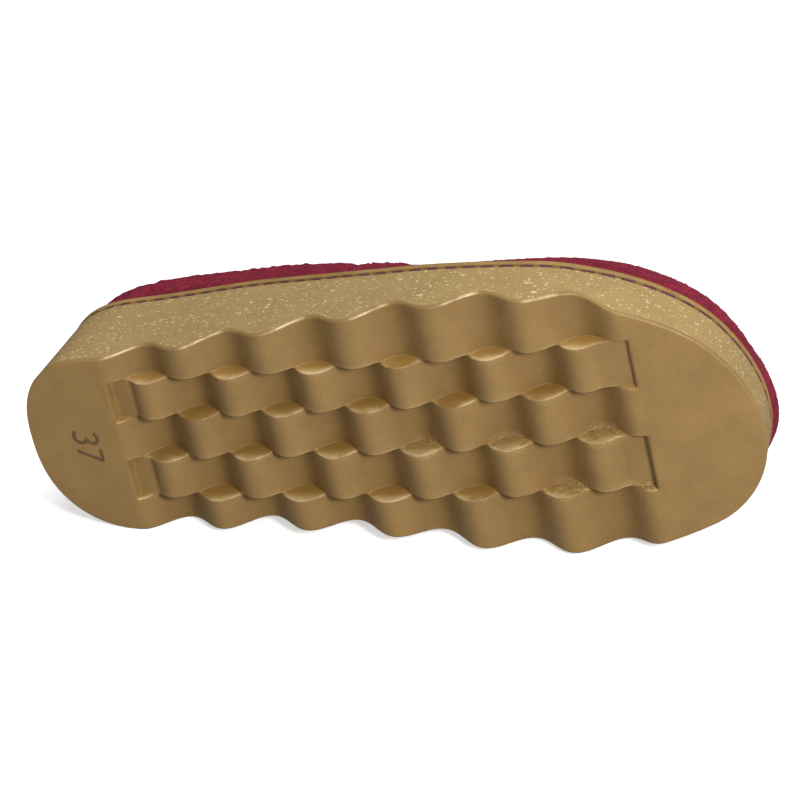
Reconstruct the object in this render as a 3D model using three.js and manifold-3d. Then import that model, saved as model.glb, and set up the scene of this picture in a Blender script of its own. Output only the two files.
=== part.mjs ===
import * as THREE from 'three';
import { mergeVertices } from 'three/addons/utils/BufferGeometryUtils.js';
import Module from 'manifold-3d';

// Right mule, lying on the inner side of the foot with its sole turned to the viewer.
// Shoe frame before it is laid down: X from heel to toe, Y to the inner side, Z up into the foot.
// All sizes are in millimetres.

// Sole plan
const soleLength = 249;
const ballHalfWidth = 48;
const heelRoundLength = 32;
const toeRoundLength = 60;
const heelRoundPower = 2.4;
const toeRoundPower = 2.05;
const planSteps = 50;

// Sole height: under the stitch groove at heel, ball and toe, and the lift of the toe
const heelWallHeight = 40.6;
const heelLean = 0.1;
const toeLean = 0.12;
const toeSpring = 16.6;
const springStart = 121.6;

// Waves of the tread
const wavePitch = 30;
const stepsPerWave = 12;
const middleFirstCrest = 46;
const middleLastCrest = 196;
const sideFirstCrest = 31;
const sideLastCrest = 211;
const heelPitStart = 32.6;
const toePitEnd = 211.8;
const pitSteps = 3;

// Welt and the groove that its seam runs in
const weltThickness = 3;
const weltHeight = 2.1;
const weltProud = 0.3;
const grooveHeight = 1.3;
const grooveDepth = 1;
const pieceGap = 0.3;

// Small overrun of one cut over the next, and how close two vertices are taken as one
const cutOverlap = 0.02;
const mergeReach = 0.0001;

// Upper of thick felt
const feltWall = 2.6;
const vampStep = 1.4;
const footDrop = 1;
const hollowDrop = 2;
const throatSideX = 107.5;
const throatCentreX = 132;
const throatHalfWidth = 42;
const throatPower = 1.5;
const throatSteps = 16;
const heelRidgeX = 46;
const toeRidgeX = 206;
const rimHeight = 22.4;
const instepHeight = 58;
const ridgeSteps = 12;

// Insole
const insoleThickness = 4;

// Reach of the cuts past the ends, the sides and the top of the shoe
const endReach = soleLength / 12;
const sideReach = soleLength / 2;
const topReach = heelWallHeight + 2 * instepHeight;

// Densities in grams per cubic centimetre, used to find how the mule lies
const soleDensity = 0.5;
const feltDensity = 0.3;
const restRounds = 4;
const climbRounds = 48;
const goldenShare = 0.381966;

// Plan of the sole: share of the length, middle line and half width as shares of ballHalfWidth
const planRows = [
  { at: 0.00, middle: 0.055, half: 0.690 },
  { at: 0.13, middle: 0.139, half: 0.698 },
  { at: 0.31, middle: 0.104, half: 0.762 },
  { at: 0.49, middle: 0.098, half: 0.868 },
  { at: 0.61, middle: 0.130, half: 0.960 },
  { at: 0.73, middle: 0.188, half: 0.996 },
  { at: 0.81, middle: 0.250, half: 0.975 },
  { at: 0.89, middle: 0.304, half: 0.967 },
  { at: 0.95, middle: 0.365, half: 1.000 },
  { at: 1.00, middle: 0.430, half: 1.000 },
];

// Top of the side wall over the floor of the heel: share of the length, share of heelWallHeight
const wallRows = [
  { at: 0.00, height: 0.860 },
  { at: 0.06, height: 0.925 },
  { at: 0.16, height: 1.000 },
  { at: 0.30, height: 0.963 },
  { at: 0.43, height: 0.845 },
  { at: 0.53, height: 0.755 },
  { at: 0.62, height: 0.690 },
  { at: 0.72, height: 0.693 },
  { at: 0.84, height: 0.762 },
  { at: 0.94, height: 0.810 },
  { at: 1.00, height: 0.820 },
];

// Edge of the low rim over the side wall's top: share of the length, share of rimHeight
const rimRows = [
  { at: 0.00, height: 0.50 },
  { at: 0.06, height: 0.72 },
  { at: 0.10, height: 0.84 },
  { at: 0.15, height: 0.98 },
  { at: 0.19, height: 1.00 },
  { at: 0.28, height: 0.91 },
  { at: 0.34, height: 0.90 },
  { at: 0.40, height: 0.88 },
  { at: 0.47, height: 0.85 },
];

// Lanes of waves from the outer side to the inner side. Each row gives the lane's inner edge
// where the sole starts, how far that edge drifts over the sole's length, how deep its troughs are
// and how deep the pits at its two ends are.
const laneRows = [
  { edge: -16.4, drift: -4.3, depth: 7.2, heelPit: 0, toePit: 0 },
  { edge: -2.3, drift: -0.5, depth: 9.0, heelPit: 3.3, toePit: 2.0 },
  { edge: 12.4, drift: 4.0, depth: 9.0, heelPit: 0, toePit: 0 },
  { edge: 26.2, drift: 11.2, depth: 9.0, heelPit: 3.3, toePit: 3.0 },
  { edge: 90, drift: 0, depth: 8.4, heelPit: 0, toePit: 0 },
];
const outerEdge = -90;

// Ridge of the upper: share of the length, height over the side wall's top as a share of
// instepHeight, shift to the inner side in millimetres, and how much the outer and inner flank
// lean inward (0 is an ellipse)
const ridgeRows = [
  { at: 0.00, height: 1.45, shift: 0, outer: 0.00, inner: 0.00 },
  { at: 0.20, height: 1.45, shift: 0, outer: -0.08, inner: -0.08 },
  { at: 0.42, height: 1.24, shift: 2, outer: 0.03, inner: 0.02 },
  { at: 0.46, height: 1.12, shift: 4, outer: 0.34, inner: 0.16 },
  { at: 0.53, height: 0.98, shift: 6, outer: 0.36, inner: 0.02 },
  { at: 0.65, height: 0.82, shift: 6, outer: 0.17, inner: -0.35 },
  { at: 0.75, height: 0.71, shift: 5, outer: 0.02, inner: -0.50 },
  { at: 0.84, height: 0.64, shift: 4, outer: -0.10, inner: -0.42 },
  { at: 1.00, height: 0.62, shift: 3, outer: -0.14, inner: -0.20 },
];

const wasm = await Module();
wasm.setup();

// Smooth value of one column of a table at a share of its length
function column(rows, name, share) {
  const s = Math.min(Math.max(share, rows[0].at), rows[rows.length - 1].at);
  let i = 0;
  while (i < rows.length - 2 && s > rows[i + 1].at) i += 1;
  const slopeAt = (k) => {
    const a = rows[Math.max(k - 1, 0)];
    const b = rows[Math.min(k + 1, rows.length - 1)];
    return (b[name] - a[name]) / (b.at - a.at);
  };
  const gap = rows[i + 1].at - rows[i].at;
  const t = (s - rows[i].at) / gap;
  const startPart = (1 + 2 * t) * (1 - t) * (1 - t) * rows[i][name];
  const endPart = t * t * (3 - 2 * t) * rows[i + 1][name];
  const startSlope = t * (1 - t) * (1 - t) * gap * slopeAt(i);
  const endSlope = t * t * (t - 1) * gap * slopeAt(i + 1);
  return startPart + endPart + startSlope + endSlope;
}

// Rounding of a plan's end: 0 at the tip, 1 from the given distance on
function endRound(distance, length, power) {
  const rest = Math.max(0, 1 - distance / length);
  return Math.pow(Math.max(0, 1 - Math.pow(rest, power)), 1 / power);
}

function planMiddle(x) {
  return ballHalfWidth * column(planRows, 'middle', x / soleLength);
}

function planHalf(x) {
  const full = ballHalfWidth * column(planRows, 'half', x / soleLength);
  const heel = endRound(x, heelRoundLength, heelRoundPower);
  const toe = endRound(soleLength - x, toeRoundLength, toeRoundPower);
  return full * heel * toe;
}

function springZ(x) {
  const run = Math.max(0, x - springStart) / (soleLength - springStart);
  return toeSpring * run * run;
}

function wallTopZ(x) {
  return heelWallHeight * column(wallRows, 'height', x / soleLength);
}

// Stations along the sole, close together at both ends
const stations = [];
for (let k = 0; k <= planSteps; k += 1) {
  stations.push((soleLength / 2) * (1 - Math.cos((Math.PI * k) / planSteps)));
}

// How far a station stands along the shoe at a height: both ends of the side wall lean inward
function leanX(x, z) {
  const along = x / soleLength;
  return x + (z - springZ(x)) * (heelLean * (1 - along) - toeLean * along);
}

// Closed outline of the shoe at a height that follows its length, counterclockwise from the heel's
// tip: outer side to the toe, inner side back
function planRing(offset, heightAt) {
  const points = [];
  const shifts = [];
  const addPoint = (x, side) => {
    const shift = leanX(x, heightAt(x)) - x;
    shifts.push(shift);
    points.push(new THREE.Vector2(x + shift, planMiddle(x) + side * planHalf(x)));
  };
  for (let k = 0; k <= planSteps; k += 1) addPoint(stations[k], -1);
  for (let k = planSteps - 1; k > 0; k -= 1) addPoint(stations[k], 1);
  const count = points.length;
  return points.map((p, i) => {
    const before = points[(i + count - 1) % count];
    const after = points[(i + 1) % count];
    const run = new THREE.Vector2().subVectors(after, before).normalize();
    const x = p.x + run.y * offset;
    return new THREE.Vector3(x, p.y - run.x * offset, heightAt(x - shifts[i]));
  });
}

function toSolid(geometry) {
  const bare = geometry.clone();
  bare.deleteAttribute('normal');
  bare.deleteAttribute('uv');
  const merged = mergeVertices(bare, mergeReach);
  const mesh = new wasm.Mesh({
    numProp: 3,
    vertProperties: new Float32Array(merged.attributes.position.array),
    triVerts: new Uint32Array(merged.index.array),
  });
  return new wasm.Manifold(mesh);
}

function toGeometry(solid) {
  const mesh = solid.getMesh();
  const geometry = new THREE.BufferGeometry();
  const count = mesh.vertProperties.length / mesh.numProp;
  const position = new Float32Array(count * 3);
  for (let i = 0; i < count; i += 1) {
    for (let j = 0; j < 3; j += 1) {
      position[i * 3 + j] = mesh.vertProperties[i * mesh.numProp + j];
    }
  }
  geometry.setAttribute('position', new THREE.BufferAttribute(position, 3));
  geometry.setIndex(new THREE.BufferAttribute(new Uint32Array(mesh.triVerts), 1));
  return geometry;
}

function addFace(index, a, b, c) {
  if (a !== b && b !== c && c !== a) index.push(a, b, c);
}

// Solid skin over rings of the plan, from the lowest up. A looped skin runs from its last ring
// back to its first, and any other is closed below its first and above its last ring.
function ringSolid(rings, looped) {
  const count = rings[0].length;
  const vertices = rings.flat().flatMap((p) => [p.x, p.y, p.z]);
  const index = [];
  const last = looped ? rings.length : rings.length - 1;
  for (let r = 0; r < last; r += 1) {
    const low = r * count;
    const high = ((r + 1) % rings.length) * count;
    for (let i = 0; i < count; i += 1) {
      const j = (i + 1) % count;
      addFace(index, low + i, low + j, high + j);
      addFace(index, low + i, high + j, high + i);
    }
  }
  if (!looped) {
    const top = (rings.length - 1) * count;
    for (let k = 0; k < planSteps; k += 1) {
      const innerA = (count - k) % count;
      const innerB = count - k - 1;
      addFace(index, innerA, k + 1, k);
      addFace(index, innerA, innerB, k + 1);
      addFace(index, top + k, top + k + 1, top + innerA);
      addFace(index, top + k + 1, top + innerB, top + innerA);
    }
  }
  const geometry = new THREE.BufferGeometry();
  geometry.setAttribute('position', new THREE.Float32BufferAttribute(vertices, 3));
  geometry.setIndex(index);
  return toSolid(geometry);
}

// Upright prism over a plan
function planPrism(points, low, high) {
  const geometry = new THREE.ExtrudeGeometry(new THREE.Shape(points), {
    depth: high - low,
    bevelEnabled: false,
  });
  geometry.translate(0, 0, low);
  return toSolid(geometry);
}

// Prism across the shoe: a side profile of x and z, drawn counterclockwise, between two edges in plan
function crossPrism(profile, outerY, innerY) {
  const geometry = new THREE.ExtrudeGeometry(new THREE.Shape(profile), {
    depth: 1,
    bevelEnabled: false,
  });
  const position = geometry.attributes.position;
  for (let i = 0; i < position.count; i += 1) {
    const x = position.getX(i);
    const z = position.getY(i);
    const y = position.getZ(i) < 0.5 ? innerY(x) : outerY(x);
    position.setXYZ(i, x, y, z);
  }
  return toSolid(geometry);
}

const farOuter = () => -sideReach;
const farInner = () => sideReach;

// Solid of everything between two heights that follow the length of the shoe
function heightBand(lowZ, highZ) {
  const xs = [-endReach, ...stations.filter((x, k) => k % 2 === 0), soleLength + endReach];
  const profile = xs.map((x) => new THREE.Vector2(x, lowZ(x)));
  for (let i = xs.length - 1; i >= 0; i -= 1) {
    profile.push(new THREE.Vector2(xs[i], highZ(xs[i])));
  }
  return crossPrism(profile, farOuter, farInner);
}

function firstCrest(lane) {
  return lane.heelPit > 0 ? middleFirstCrest : sideFirstCrest;
}

function lastCrest(lane) {
  return lane.toePit > 0 ? middleLastCrest : sideLastCrest;
}

// Depth of a lane's floor over the flat underside
function laneDepth(lane, x) {
  const phase = (2 * Math.PI * (x - firstCrest(lane))) / wavePitch;
  const wave = (lane.depth / 2) * (1 - Math.cos(phase));
  if (x < firstCrest(lane)) return Math.min(wave, lane.heelPit);
  if (x > lastCrest(lane)) return Math.min(wave, lane.toePit);
  return wave;
}

function laneStations(lane) {
  const step = wavePitch / stepsPerWave;
  const first = firstCrest(lane);
  const last = lastCrest(lane);
  const xs = [];
  for (let x = first; x < last + step / 2; x += step) xs.push(x);
  const reach = (depth) => Math.acos(1 - (2 * depth) / lane.depth) * (wavePitch / (2 * Math.PI));
  if (lane.heelPit > 0) {
    const run = reach(lane.heelPit);
    for (let k = 1; k <= pitSteps; k += 1) xs.unshift(first - (run * k) / pitSteps);
    xs.unshift(heelPitStart);
  }
  if (lane.toePit > 0) {
    const run = reach(lane.toePit);
    for (let k = 1; k <= pitSteps; k += 1) xs.push(last + (run * k) / pitSteps);
    xs.push(toePitEnd);
  }
  return xs;
}

// Everything under one lane of waves
function laneCutter(index) {
  const lane = laneRows[index];
  const before = index === 0 ? { edge: outerEdge, drift: 0 } : laneRows[index - 1];
  const widen = lane.heelPit > 0 ? cutOverlap : 0;
  const outerY = (x) => before.edge + (before.drift * x) / soleLength - widen;
  const innerY = (x) => lane.edge + (lane.drift * x) / soleLength + widen;
  const xs = laneStations(lane);
  const floorZ = -endReach;
  const profile = [
    new THREE.Vector2(-endReach, floorZ),
    new THREE.Vector2(soleLength + endReach, floorZ),
  ];
  const springXs = stations.filter((x) => x > xs[xs.length - 1] + 1);
  const end = soleLength + endReach;
  [...springXs, end].reverse().forEach((x) => profile.push(new THREE.Vector2(x, springZ(x))));
  if (lane.toePit > 0) profile.push(new THREE.Vector2(toePitEnd, springZ(toePitEnd)));
  for (let i = xs.length - 1; i >= 0; i -= 1) {
    profile.push(new THREE.Vector2(xs[i], springZ(xs[i]) + laneDepth(lane, xs[i])));
  }
  if (lane.heelPit > 0) profile.push(new THREE.Vector2(heelPitStart, 0));
  profile.push(new THREE.Vector2(-endReach, 0));
  return crossPrism(profile, outerY, innerY);
}

function makeOutsole() {
  const body = ringSolid([
    planRing(0, () => -endReach / 2),
    planRing(0, (x) => wallTopZ(x) - grooveHeight),
    planRing(-grooveDepth, (x) => wallTopZ(x) - grooveHeight),
    planRing(-grooveDepth, wallTopZ),
  ], false);
  let cutters = laneCutter(0);
  for (let i = 1; i < laneRows.length; i += 1) cutters = cutters.add(laneCutter(i));
  return body.subtract(cutters);
}

function makeWelt() {
  const low = (x) => wallTopZ(x) + pieceGap;
  const high = (x) => low(x) + weltHeight;
  return ringSolid([
    planRing(-weltThickness, low),
    planRing(weltProud, low),
    planRing(weltProud, high),
    planRing(-weltThickness, high),
  ], true);
}

// Full form of the foot inside or outside the felt. Inset is measured inward from the welt's inner
// face, and drop sinks its flat underside.
function lastForm(inset, drop) {
  const footAt = (x) => wallTopZ(x) + pieceGap - drop;
  const base = planRing(-weltThickness - pieceGap - inset, footAt);
  const count = base.length;
  const vertices = [];
  const index = [];
  const ringOf = [];
  for (let i = 0; i < count; i += 1) {
    const isOuter = i <= planSteps;
    const foot = base[i];
    const station = Math.min(Math.max(stations[isOuter ? i : count - i], heelRidgeX), toeRidgeX);
    const share = station / soleLength;
    const ridgeX = leanX(station, footAt(station));
    const ridgeY = planMiddle(station) + column(ridgeRows, 'shift', share);
    const height = instepHeight * column(ridgeRows, 'height', share) - inset;
    const tip = i === 0 || i === planSteps;
    const outerLean = column(ridgeRows, 'outer', share);
    const innerLean = column(ridgeRows, 'inner', share);
    const lean = tip ? (outerLean + innerLean) / 2 : isOuter ? outerLean : innerLean;
    const topZ = wallTopZ(station) + pieceGap + height;
    const ring = [];
    for (let j = 0; j <= ridgeSteps; j += 1) {
      const angle = (Math.PI / 2) * (j / ridgeSteps);
      const rise = Math.sin(angle);
      const inward = lean * rise + (1 - lean) * (1 - Math.cos(angle));
      ring.push(vertices.length / 3);
      if (j === ridgeSteps) {
        vertices.push(ridgeX, ridgeY, topZ);
      } else {
        vertices.push(
          foot.x + (ridgeX - foot.x) * inward,
          foot.y + (ridgeY - foot.y) * inward,
          foot.z + (topZ - foot.z) * rise,
        );
      }
    }
    ringOf.push(ring);
  }
  for (let i = 0; i < count; i += 1) {
    const a = ringOf[i];
    const b = ringOf[(i + 1) % count];
    for (let j = 0; j < ridgeSteps; j += 1) {
      index.push(a[j], b[j], b[j + 1], a[j], b[j + 1], a[j + 1]);
    }
  }
  for (let k = 0; k < planSteps; k += 1) {
    const outerA = ringOf[k][0];
    const outerB = ringOf[k + 1][0];
    const innerA = ringOf[(count - k) % count][0];
    const innerB = ringOf[count - k - 1][0];
    index.push(outerA, innerA, innerB, outerA, innerB, outerB);
  }
  const geometry = new THREE.BufferGeometry();
  geometry.setAttribute('position', new THREE.Float32BufferAttribute(vertices, 3));
  geometry.setIndex(index);
  const merged = mergeVertices(geometry, mergeReach);
  const kept = [];
  const ids = merged.index.array;
  for (let i = 0; i < ids.length; i += 3) addFace(kept, ids[i], ids[i + 1], ids[i + 2]);
  merged.setIndex(kept);
  return toSolid(merged);
}

function rimTopZ(x) {
  return wallTopZ(x) + rimHeight * column(rimRows, 'height', x / soleLength);
}

// Plan of everything behind the vamp's edge, which may be moved forward
function behindVamp(forward) {
  const points = [
    new THREE.Vector2(-endReach, sideReach),
    new THREE.Vector2(-endReach, -sideReach),
    new THREE.Vector2(throatSideX + forward, -sideReach),
  ];
  const middle = planMiddle(throatCentreX);
  for (let i = 0; i <= throatSteps; i += 1) {
    const across = -1 + (2 * i) / throatSteps;
    const curve = Math.pow(Math.max(0, Math.cos((Math.PI / 2) * across)), throatPower);
    const x = throatSideX + (throatCentreX - throatSideX) * curve;
    points.push(new THREE.Vector2(x + forward, middle + throatHalfWidth * across));
  }
  points.push(new THREE.Vector2(throatSideX + forward, sideReach));
  return points;
}

function makeUpper() {
  const raisedVamp = lastForm(-vampStep, footDrop)
    .subtract(planPrism(behindVamp(0), -endReach, topReach));
  const opening = planPrism(behindVamp(cutOverlap), -endReach, topReach - 1)
    .intersect(heightBand(rimTopZ, () => topReach));
  const weltRoof = (x) => wallTopZ(x) + weltHeight + 2 * pieceGap;
  const weltRoom = ringSolid([
    planRing(-weltThickness - pieceGap, () => 0),
    planRing(endReach, () => 0),
    planRing(endReach, weltRoof),
    planRing(-weltThickness - pieceGap, weltRoof),
  ], true);
  const below = heightBand(() => -endReach, (x) => wallTopZ(x) + pieceGap);
  return lastForm(0, footDrop).add(raisedVamp)
    .subtract(opening)
    .subtract(weltRoom)
    .subtract(below)
    .subtract(lastForm(feltWall, hollowDrop));
}

function makeInsole() {
  const slab = heightBand(
    (x) => wallTopZ(x) + pieceGap,
    (x) => wallTopZ(x) + pieceGap + insoleThickness,
  );
  return lastForm(feltWall + pieceGap, hollowDrop).intersect(slab);
}

function plain(name, color, roughness) {
  const material = new THREE.MeshStandardMaterial({ color, roughness, metalness: 0 });
  material.name = name;
  return material;
}

function node(name, solid, material) {
  const mesh = new THREE.Mesh(toGeometry(solid), material);
  mesh.name = name;
  return mesh;
}

const pieces = [
  { density: soleDensity, mesh: node('outsole', makeOutsole(), plain('moulded_rubber', 0x95764a, 0.7)) },
  { density: soleDensity, mesh: node('welt', makeWelt(), plain('brown_strip', 0x8c7341, 0.7)) },
  { density: feltDensity, mesh: node('upper', makeUpper(), plain('wool_felt', 0x7a1f38, 1)) },
  { density: feltDensity, mesh: node('insole', makeInsole(), plain('grey_felt', 0x9a948c, 1)) },
];

// Weighted volume and centre of a closed mesh
function massOf(geometry, density) {
  const position = geometry.attributes.position;
  const ids = geometry.index.array;
  const a = new THREE.Vector3();
  const b = new THREE.Vector3();
  const c = new THREE.Vector3();
  const cross = new THREE.Vector3();
  const moment = new THREE.Vector3();
  let mass = 0;
  for (let i = 0; i < ids.length; i += 3) {
    a.fromBufferAttribute(position, ids[i]);
    b.fromBufferAttribute(position, ids[i + 1]);
    c.fromBufferAttribute(position, ids[i + 2]);
    const part = (density * a.dot(cross.crossVectors(b, c))) / 6;
    mass += part;
    moment.add(a.add(b).add(c).multiplyScalar(part / 4));
  }
  return { mass, moment };
}

// Largest value of a concave function between two limits
function climb(value, low, high) {
  let a = low;
  let b = high;
  for (let i = 0; i < climbRounds; i += 1) {
    const left = a + (b - a) * goldenShare;
    const right = b - (b - a) * goldenShare;
    if (value(left) > value(right)) b = right;
    else a = left;
  }
  return (a + b) / 2;
}

// Lays the shoe on its inner side: the floor is the plane under all points that is highest where
// the centre of mass stands over it.
function layDown(group) {
  const centre = new THREE.Vector3();
  let mass = 0;
  const xs = [];
  const zs = [];
  const ys = [];
  pieces.forEach((piece) => {
    const part = massOf(piece.mesh.geometry, piece.density);
    mass += part.mass;
    centre.add(part.moment);
    const position = piece.mesh.geometry.attributes.position;
    for (let i = 0; i < position.count; i += 1) {
      xs.push(position.getX(i));
      ys.push(-position.getY(i));
      zs.push(position.getZ(i));
    }
  });
  centre.divideScalar(mass);
  let footX = centre.x;
  let footZ = centre.z;
  let alongX = 0;
  let alongZ = 0;
  for (let round = 0; round < restRounds; round += 1) {
    const floorBelow = (slopeX, slopeZ) => {
      let low = Infinity;
      for (let i = 0; i < xs.length; i += 1) {
        low = Math.min(low, ys[i] - slopeX * (xs[i] - footX) - slopeZ * (zs[i] - footZ));
      }
      return low;
    };
    const bestZ = (slopeX) => climb((slopeZ) => floorBelow(slopeX, slopeZ), -1, 1);
    alongX = climb((slopeX) => floorBelow(slopeX, bestZ(slopeX)), -1, 1);
    alongZ = bestZ(alongX);
    const floorHere = floorBelow(alongX, alongZ)
      + alongX * (centre.x - footX) + alongZ * (centre.z - footZ);
    const drop = (-centre.y - floorHere) / (1 + alongX * alongX + alongZ * alongZ);
    footX = centre.x + alongX * drop;
    footZ = centre.z + alongZ * drop;
  }
  const up = new THREE.Vector3(-alongX, -1, -alongZ).normalize();
  const along = new THREE.Vector3(1, 0, 0).addScaledVector(up, -up.x).normalize();
  const across = new THREE.Vector3().crossVectors(up, along);
  const turn = new THREE.Matrix4().makeBasis(along, across, up).transpose();
  group.quaternion.setFromRotationMatrix(turn);
  group.updateMatrixWorld(true);
  const box = new THREE.Box3().setFromObject(group, true);
  group.position.set(-(box.min.x + box.max.x) / 2, -(box.min.y + box.max.y) / 2, -box.min.z);
  group.updateMatrixWorld(true);
}

const mule = new THREE.Group();
mule.name = 'mule';
pieces.forEach((piece) => mule.add(piece.mesh));
layDown(mule);

export default mule;
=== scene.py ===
"""Looks of a right felt mule that lies on its inner side with its tread turned to the camera.

Lengths are millimetres in the shoe's own frame (X heel to toe, Y to the inner side, Z up into the
foot) until to_row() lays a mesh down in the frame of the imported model, in metres.
"""

import math

import bmesh
import bpy
import numpy as np
from mathutils import Matrix, Vector, noise


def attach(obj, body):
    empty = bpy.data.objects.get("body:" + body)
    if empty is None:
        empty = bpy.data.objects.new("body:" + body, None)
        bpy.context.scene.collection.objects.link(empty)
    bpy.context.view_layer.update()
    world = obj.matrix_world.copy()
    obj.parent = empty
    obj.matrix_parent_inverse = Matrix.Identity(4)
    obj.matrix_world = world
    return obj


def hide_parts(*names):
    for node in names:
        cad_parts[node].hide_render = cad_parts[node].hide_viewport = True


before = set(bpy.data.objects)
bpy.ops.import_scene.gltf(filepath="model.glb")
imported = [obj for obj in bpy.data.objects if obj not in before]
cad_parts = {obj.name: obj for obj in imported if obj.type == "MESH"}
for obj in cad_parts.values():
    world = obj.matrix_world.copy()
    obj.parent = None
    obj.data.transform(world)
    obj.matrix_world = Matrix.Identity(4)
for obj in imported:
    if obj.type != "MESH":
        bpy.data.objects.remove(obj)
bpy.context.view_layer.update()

MM = 0.001

# How the shoe is laid down: turn, then place, in millimetres
LAY_TURN = np.array(
    [
        [0.99275897, 0.12012323, 0.00017750],
        [0.0, -0.00147765, 0.99999891],
        [0.12012336, -0.99275789, -0.00146695],
    ]
)
LAY_PLACE = np.array([-124.9002, -44.8962, 36.0533])

# Sole plan and heights
SOLE_LENGTH = 249.0
BALL_HALF_WIDTH = 48.0
HEEL_ROUND_LENGTH = 32.0
TOE_ROUND_LENGTH = 60.0
HEEL_ROUND_POWER = 2.4
TOE_ROUND_POWER = 2.05
HEEL_WALL_HEIGHT = 40.6
HEEL_LEAN = 0.1
TOE_LEAN = 0.12
TOE_SPRING = 16.6
SPRING_START = 121.6

# Waves of the tread
WAVE_PITCH = 30.0
MIDDLE_CRESTS = (46.0, 196.0)
SIDE_CRESTS = (31.0, 211.0)
PIT_ENDS = (32.6, 211.8)
PIT_SOFTNESS = 0.4
LANE_SOFTNESS = 0.55
TREAD_EDGE_RADIUS = 0.7
EDGE_ANGLES = (20, 45, 68, 90)
# Columns added at the pits' ends, in parts of PIT_SOFTNESS
PIT_COLUMNS = (-1.1, -0.7, -0.4, 0.0, 0.4, 0.7, 1.1)
PIT_COLUMN_ROOM = 0.3
# Where the brown skin ends on the side wall: height over the tread's edge, share of skin left
SKIN_FADE = ((0.7, 0.45), (1.5, 0.15), (2.4, 0.0))
SKIN_LOST_AT_EDGE = 0.25
# Rise of the tread's edge from one column to the next at which the painted highlight on it is full
RISE_FOR_FULL_HIGHLIGHT = 0.35
CRUMB_HEIGHT = 0.26
# Crumbled faces between two lanes: place along and across, half length, half width
CRUMBLED = (
    (137.0, 14.6, 6.5, 2.2),
    (165.0, 15.0, 7.0, 2.6),
    (196.0, 15.6, 7.0, 2.4),
    (183.0, 34.4, 7.0, 2.4),
    (206.0, 35.5, 6.0, 2.6),
)

# Welt and groove
WELT_THICKNESS = 3.0
WELT_HEIGHT = 2.1
WELT_PROUD = 0.3
GROOVE_HEIGHT = 1.3
GROOVE_DEPTH = 0.6
# Offset from the wall, height over the groove's lower edge
GROOVE_PROFILE = (
    (-0.12, -0.15),
    (-0.5, 0.0),
    (-GROOVE_DEPTH, 0.0),
    (-GROOVE_DEPTH, GROOVE_HEIGHT),
)
WELT_FOOT_RADIUS = 0.5
WELT_TOP_RADIUS = 0.7
PIECE_GAP = 0.3

# Upper and insole
FELT_WALL = 2.6
VAMP_STEP = 1.4
FOOT_DROP = 1.0
HOLLOW_DROP = 2.0
THROAT_SIDE_X = 107.5
THROAT_CENTRE_X = 132.0
THROAT_HALF_WIDTH = 42.0
THROAT_POWER = 1.5
HEEL_RIDGE_X = 46.0
TOE_RIDGE_X = 206.0
RIM_HEIGHT = 22.4
INSTEP_HEIGHT = 58.0
INSOLE_THICKNESS = 4.0

# Share of the length, middle line and half width as shares of BALL_HALF_WIDTH
PLAN_ROWS = {
    "at": (0.00, 0.13, 0.31, 0.49, 0.61, 0.73, 0.81, 0.89, 0.95, 1.00),
    "middle": (0.055, 0.139, 0.104, 0.098, 0.130, 0.188, 0.250, 0.304, 0.365, 0.430),
    "half": (0.690, 0.698, 0.762, 0.868, 0.960, 0.996, 0.975, 0.967, 1.000, 1.000),
}
WALL_ROWS = {
    "at": (0.00, 0.06, 0.16, 0.30, 0.43, 0.53, 0.62, 0.72, 0.84, 0.94, 1.00),
    "height": (0.860, 0.925, 1.000, 0.963, 0.845, 0.755, 0.690, 0.693, 0.762, 0.810, 0.820),
}
RIM_ROWS = {
    "at": (0.00, 0.06, 0.10, 0.15, 0.19, 0.28, 0.34, 0.40, 0.47),
    "height": (0.50, 0.72, 0.84, 0.98, 1.00, 0.91, 0.90, 0.88, 0.85),
}
RIDGE_ROWS = {
    "at": (0.00, 0.20, 0.42, 0.46, 0.53, 0.65, 0.75, 0.84, 1.00),
    "height": (1.45, 1.45, 1.24, 1.12, 0.98, 0.82, 0.71, 0.64, 0.62),
    "shift": (0, 0, 2, 4, 6, 6, 5, 4, 3),
    "outer": (0.00, -0.08, 0.03, 0.34, 0.36, 0.17, 0.02, -0.10, -0.14),
    "inner": (0.00, -0.08, 0.02, 0.16, 0.02, -0.35, -0.50, -0.42, -0.20),
}
# Lanes from the outer side to the inner side
LANE_ROWS = (
    {"edge": -16.4, "drift": -4.3, "depth": 7.2, "heel_pit": 0.0, "toe_pit": 0.0},
    {"edge": -2.3, "drift": -0.5, "depth": 9.0, "heel_pit": 3.3, "toe_pit": 2.0},
    {"edge": 12.4, "drift": 4.0, "depth": 9.0, "heel_pit": 0.0, "toe_pit": 0.0},
    {"edge": 26.2, "drift": 11.2, "depth": 9.0, "heel_pit": 3.3, "toe_pit": 3.0},
    {"edge": 90.0, "drift": 0.0, "depth": 8.4, "heel_pit": 0.0, "toe_pit": 0.0},
)

# How finely the meshes are cut
SOLE_COLUMNS = 340
WELT_COLUMNS = 220
SEAM_COLUMNS = 500
FORM_COLUMNS = 150
FORM_STEPS = 40
TIP_BLEND_COLUMNS = 9
WALL_RINGS = 12
FELT_VOXEL = 0.95
INSOLE_VOXEL = 1.3
MERGE = 0.002


def column(rows, name, share):
    """Smooth value of one column of a table at shares of the length."""
    at = np.array(rows["at"], float)
    values = np.array(rows[name], float)
    s = np.clip(share, at[0], at[-1])
    i = np.clip(np.searchsorted(at, s, side="left") - 1, 0, len(at) - 2)
    low = np.maximum(np.arange(len(at)) - 1, 0)
    high = np.minimum(np.arange(len(at)) + 1, len(at) - 1)
    slope = (values[high] - values[low]) / (at[high] - at[low])
    gap = at[i + 1] - at[i]
    t = (s - at[i]) / gap
    start = (1 + 2 * t) * (1 - t) ** 2 * values[i] + t * (1 - t) ** 2 * gap * slope[i]
    end = t * t * (3 - 2 * t) * values[i + 1] + t * t * (t - 1) * gap * slope[i + 1]
    return start + end


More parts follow.
